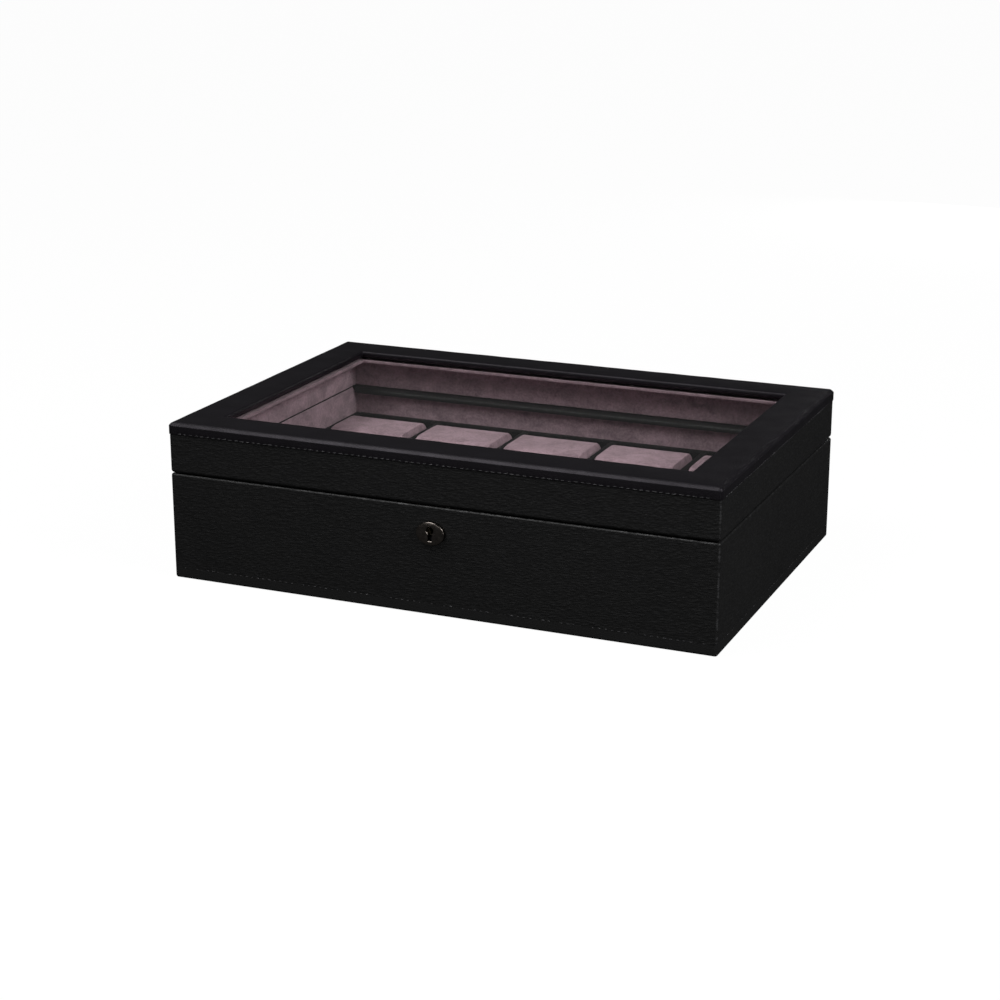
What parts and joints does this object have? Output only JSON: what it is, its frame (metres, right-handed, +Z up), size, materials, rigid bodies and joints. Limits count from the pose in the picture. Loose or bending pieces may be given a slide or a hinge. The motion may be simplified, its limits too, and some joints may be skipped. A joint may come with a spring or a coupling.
{
  "type": "watch box",
  "caption": "Low lockable watch box covered in black leather, with a hinged lid that has a glass window, and suede-covered cushions that lift out of a grid of compartments.",
  "frame": {"origin": "under the middle of the box, on the surface that it stands on", "axes": "+X to the right along the front, +Y to the rear where the hinge is, +Z up"},
  "size_m": [0.36, 0.2498, 0.1025],
  "materials": {
    "fibreboard": "black fibreboard, raw",
    "grained_leather": "fine ribbed grain, half gloss",
    "smooth_leather": "smooth, half matt, light stitching",
    "felt": "felt",
    "suede_lining": "suede",
    "black_suede": "suede",
    "cushion_suede": "suede over foam",
    "glass": "clear float glass",
    "gunmetal": "polished dark nickel",
    "steel": "plain steel",
    "brass": "satin brass"
  },
  "bodies": {
    "base": {"base_front_board": "fibreboard", "base_rear_board": "fibreboard", "base_left_board": "fibreboard", "base_right_board": "fibreboard", "base_floor_board": "fibreboard", "underside_felt": "felt", "base_leather": "grained_leather", "foot_leather": "smooth_leather", "base_lining_front": "suede_lining", "base_lining_rear": "suede_lining", "base_lining_left": "suede_lining", "base_lining_right": "suede_lining", "hinge_cover_strip": "smooth_leather", "floor_lining": "suede_lining", "tray_border": "black_suede", "long_divider_1": "black_suede", "long_divider_2": "black_suede", "cross_divider_1": "black_suede", "cross_divider_2": "black_suede", "cross_divider_3": "black_suede", "cross_divider_4": "black_suede", "lock_case": "steel", "lock_escutcheon": "gunmetal", "hinge_base_leaf": "brass", "hinge_pin": "brass", "base_screws": "brass"},
    "lid": {"lid_front_board": "fibreboard", "lid_rear_board": "fibreboard", "lid_left_board": "fibreboard", "lid_right_board": "fibreboard", "lid_top_frame": "fibreboard", "lid_leather": "grained_leather", "lid_top_leather": "smooth_leather", "lid_lining_front": "suede_lining", "lid_lining_rear": "suede_lining", "lid_lining_left": "suede_lining", "lid_lining_right": "suede_lining", "glass_pane": "glass", "glass_retainer": "suede_lining", "strike_plate": "steel", "hinge_lid_leaf": "brass", "lid_screws": "brass"},
    "lock_hub": {"lock_hub": "steel"},
    "lock_bolt": {"lock_bolt": "steel"},
    "cushion_1_1": {"cushion_1_1": "cushion_suede"},
    "cushion_1_2": {"cushion_1_2": "cushion_suede"},
    "cushion_1_3": {"cushion_1_3": "cushion_suede"},
    "cushion_1_4": {"cushion_1_4": "cushion_suede"},
    "cushion_1_5": {"cushion_1_5": "cushion_suede"},
    "cushion_2_1": {"cushion_2_1": "cushion_suede"},
    "cushion_2_2": {"cushion_2_2": "cushion_suede"},
    "cushion_2_3": {"cushion_2_3": "cushion_suede"},
    "cushion_2_4": {"cushion_2_4": "cushion_suede"},
    "cushion_2_5": {"cushion_2_5": "cushion_suede"},
    "cushion_3_1": {"cushion_3_1": "cushion_suede"},
    "cushion_3_2": {"cushion_3_2": "cushion_suede"},
    "cushion_3_3": {"cushion_3_3": "cushion_suede"},
    "cushion_3_4": {"cushion_3_4": "cushion_suede"},
    "cushion_3_5": {"cushion_3_5": "cushion_suede"}
  },
  "joints": [
    {"name": "lid_hinge", "type": "hinge", "parent": "base", "child": "lid", "pos_m": [0, 0.1225, 0.0693], "axis": [-1, 0, 0], "range_deg": [0, 100]},
    {"name": "lock_turn", "type": "hinge", "parent": "base", "child": "lock_hub", "pos_m": [0, -0.119, 0.0547], "axis": [0, -1, 0], "range_deg": [0, 90]},
    {"name": "bolt_slide", "type": "slide", "parent": "base", "child": "lock_bolt", "axis": [1, 0, 0], "range_m": [0, 0.0048]},
    {"name": "cushion_1_1_lift", "type": "slide", "parent": "base", "child": "cushion_1_1", "axis": [0, 0, 1], "range_m": [0, 0.032]},
    {"name": "cushion_1_2_lift", "type": "slide", "parent": "base", "child": "cushion_1_2", "axis": [0, 0, 1], "range_m": [0, 0.032]},
    {"name": "cushion_1_3_lift", "type": "slide", "parent": "base", "child": "cushion_1_3", "axis": [0, 0, 1], "range_m": [0, 0.032]},
    {"name": "cushion_1_4_lift", "type": "slide", "parent": "base", "child": "cushion_1_4", "axis": [0, 0, 1], "range_m": [0, 0.032]},
    {"name": "cushion_1_5_lift", "type": "slide", "parent": "base", "child": "cushion_1_5", "axis": [0, 0, 1], "range_m": [0, 0.032]},
    {"name": "cushion_2_1_lift", "type": "slide", "parent": "base", "child": "cushion_2_1", "axis": [0, 0, 1], "range_m": [0, 0.032]},
    {"name": "cushion_2_2_lift", "type": "slide", "parent": "base", "child": "cushion_2_2", "axis": [0, 0, 1], "range_m": [0, 0.032]},
    {"name": "cushion_2_3_lift", "type": "slide", "parent": "base", "child": "cushion_2_3", "axis": [0, 0, 1], "range_m": [0, 0.032]},
    {"name": "cushion_2_4_lift", "type": "slide", "parent": "base", "child": "cushion_2_4", "axis": [0, 0, 1], "range_m": [0, 0.032]},
    {"name": "cushion_2_5_lift", "type": "slide", "parent": "base", "child": "cushion_2_5", "axis": [0, 0, 1], "range_m": [0, 0.032]},
    {"name": "cushion_3_1_lift", "type": "slide", "parent": "base", "child": "cushion_3_1", "axis": [0, 0, 1], "range_m": [0, 0.032]},
    {"name": "cushion_3_2_lift", "type": "slide", "parent": "base", "child": "cushion_3_2", "axis": [0, 0, 1], "range_m": [0, 0.032]},
    {"name": "cushion_3_3_lift", "type": "slide", "parent": "base", "child": "cushion_3_3", "axis": [0, 0, 1], "range_m": [0, 0.032]},
    {"name": "cushion_3_4_lift", "type": "slide", "parent": "base", "child": "cushion_3_4", "axis": [0, 0, 1], "range_m": [0, 0.032]},
    {"name": "cushion_3_5_lift", "type": "slide", "parent": "base", "child": "cushion_3_5", "axis": [0, 0, 1], "range_m": [0, 0.032]}
  ],
  "couplings": [
    {"joint": "lock_turn", "follows": "bolt_slide", "rad_per_m": 326.68}
  ]
}
